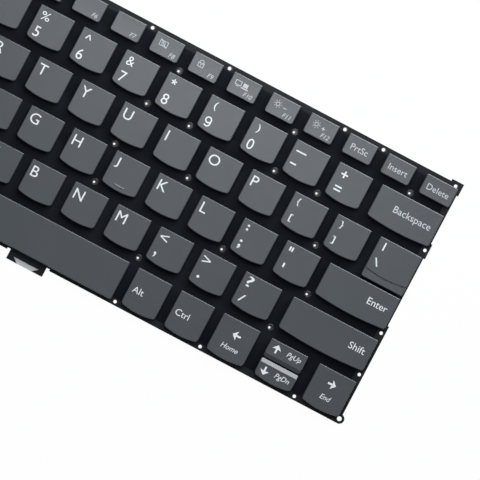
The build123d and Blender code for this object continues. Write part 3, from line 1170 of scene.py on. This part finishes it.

# %% Collars and painted-shadow lips in the screw holes
COLLAR_SECTION = [(1.5, 0.5), (1.48, 0.68), (1.38, 0.82), (1.2, 0.88), (1.05, 0.84), (0.97, 0.7),
                  (0.95, 0.5)]
LIP_RADIUS = 0.97
LIP_LEVELS = (0.04, 0.14)
# The bores sit towards the front left, where light through a hole reaches the floor; the lip hides the
# rest, as painted shadow.
INNER_BORE, INNER_SHIFT = 0.43, (-0.32, -0.22, 0.0)
EDGE_BORE, EDGE_SHIFT = 0.68, (-0.19, -0.1, 0.0)
WIDEST_HOLE = 3.0 * MM
EAR_REACH = Vector((10.0, 5.0)) * MM


def shadow_lip(bore, shift):
    """Thin dark ring low in a screw hole, painted shadow, with its bore moved towards the lit floor."""
    low, high = LIP_LEVELS
    section = [(LIP_RADIUS, low), (LIP_RADIUS, high), (bore, high), (bore, low)]
    lip = turned_ring(section)
    edit()
    choose(lip, "VERT", lambda point: point.xy.length < (bore + LIP_RADIUS) / 2 * MM)
    bpy.ops.transform.translate(value=Vector(shift) * MM)
    leave()
    return lip


def in_ear(x, y):
    """Whether a hole lies in one of the round ears, whose holes stay plain."""
    return abs(x) > keys["right"][1].x - EAR_REACH.x and y < keys["right"][0].y + EAR_REACH.y


collar = turned_ring(COLLAR_SECTION)
join(collar, [shadow_lip(INNER_BORE, INNER_SHIFT)])
edge_shadow_lip = shadow_lip(EDGE_BORE, EDGE_SHIFT)
plate_holes = [(x, y) for x, y in openings("base_plate", WIDEST_HOLE) if not in_ear(x, y)]
edge_holes = [place for place in plate_holes
              if all(math.dist(place, inner) > LIP_RADIUS * MM for inner in inner_holes)]
# Collars and painted-shadow lips are joined in one piece.
collars = join(copies_at(collar, inner_holes), [copies_at(edge_shadow_lip, edge_holes)])
collars.name = "hole_collars"
discard([collar, edge_shadow_lip])
collars.data.materials.append(collar_coat)
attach(collars, "board")
print("edge screw holes:", len(edge_holes), "collar faces:", len(collars.data.polygons))

# %% [markdown]
# ## Floor and light
# The photograph has a plain white ground and a soft light from behind the board, so that the rear edges of
# the caps are bright and the gaps in front of them dark. A broad lamp behind the board gives that, a small
# one over its rear edge makes the sheen that fades towards the front, and a large weak one above fills the
# rest. The floor has low walls, so that a low view meets no edge, and it is white to the camera and in
# reflections while it keeps the shadow.

# %% Floor
FLOOR_SIZE = 8.0
WALL_HEIGHT = 0.8
FLOOR_LEVEL = -0.05 * MM
FLOOR_GREY = (0.86, 0.86, 0.86, 1.0)
SHADOW_SHARE = 0.04

deselect()
bpy.ops.mesh.primitive_cube_add(size=1, location=(0, 0, FLOOR_LEVEL + WALL_HEIGHT / 2))
floor = bpy.context.object
floor.name = "floor"
floor.scale = (FLOOR_SIZE, FLOOR_SIZE, WALL_HEIGHT)
settle()
edit()
choose(floor, "FACE", lambda point: point.z > WALL_HEIGHT * 0.9)
bpy.ops.mesh.delete(type="FACE")
bpy.ops.mesh.select_all(action="SELECT")
bpy.ops.mesh.normals_make_consistent(inside=True)
leave()
floor_white, floor_tap, plain_shader = start_finish("floor_white")
surface = plain_shader.outputs[0].links[0].to_socket
seen = floor_tap.node("LightPath", out="Is Camera Ray")
for ray in ("Is Glossy Ray", "Is Transmission Ray"):
    seen = floor_tap.math("MAXIMUM", seen, floor_tap.node("LightPath", out=ray))
matt = floor_tap.node("BsdfDiffuse", {}, {"Color": FLOOR_GREY})
glow = floor_tap.node("Emission", {}, {"Color": WHITE, "Strength": 1.0})
ground = floor_tap.node("MixShader", {}, {"Fac": (1 - SHADOW_SHARE) * seen, 1: matt, 2: glow})
floor_tap.tree.links.new(ground.socket, surface)
floor_tap.tree.nodes.remove(plain_shader)
floor.data.materials.append(floor_white)
print("floor ready")


# %% Lamps and world
COOL_WHITE = (0.93, 0.97, 1.0)
WORLD_STRENGTH = 0.3


def soft_lamp(name, place, aim, size, power):
    """Oblong lamp that looks at a point and isn't seen itself."""
    bpy.ops.object.light_add(type="AREA", location=place)
    lamp = bpy.context.object
    lamp.name = name
    lamp.data.shape = "RECTANGLE"
    lamp.data.size, lamp.data.size_y = size
    lamp.data.energy = power
    lamp.data.color = COOL_WHITE
    lamp.rotation_euler = (Vector(aim) - Vector(place)).to_track_quat("-Z", "Y").to_euler()
    lamp.visible_camera = False
    return lamp


soft_lamp("rear_lamp", place=(0.35, 0.85, 0.68), aim=(0.06, 0.0, 0.0), size=(1.1, 0.4), power=8.5)
soft_lamp("sheen_lamp", place=(0.02, 0.14, 0.32), aim=(0.02, 0.06, 0.0), size=(0.18, 0.16), power=0.55)
soft_lamp("top_lamp", place=(0.1, 0.35, 1.2), aim=(0.05, 0.0, 0.0), size=(0.9, 0.9), power=1.2)
world = bpy.data.worlds.new("studio")
world.use_nodes = True
background = world.node_tree.nodes["Background"]
background.inputs["Color"].default_value = (*COOL_WHITE, 1)
background.inputs["Strength"].default_value = WORLD_STRENGTH
bpy.context.scene.world = world
bpy.context.scene.view_settings.view_transform = "Standard"
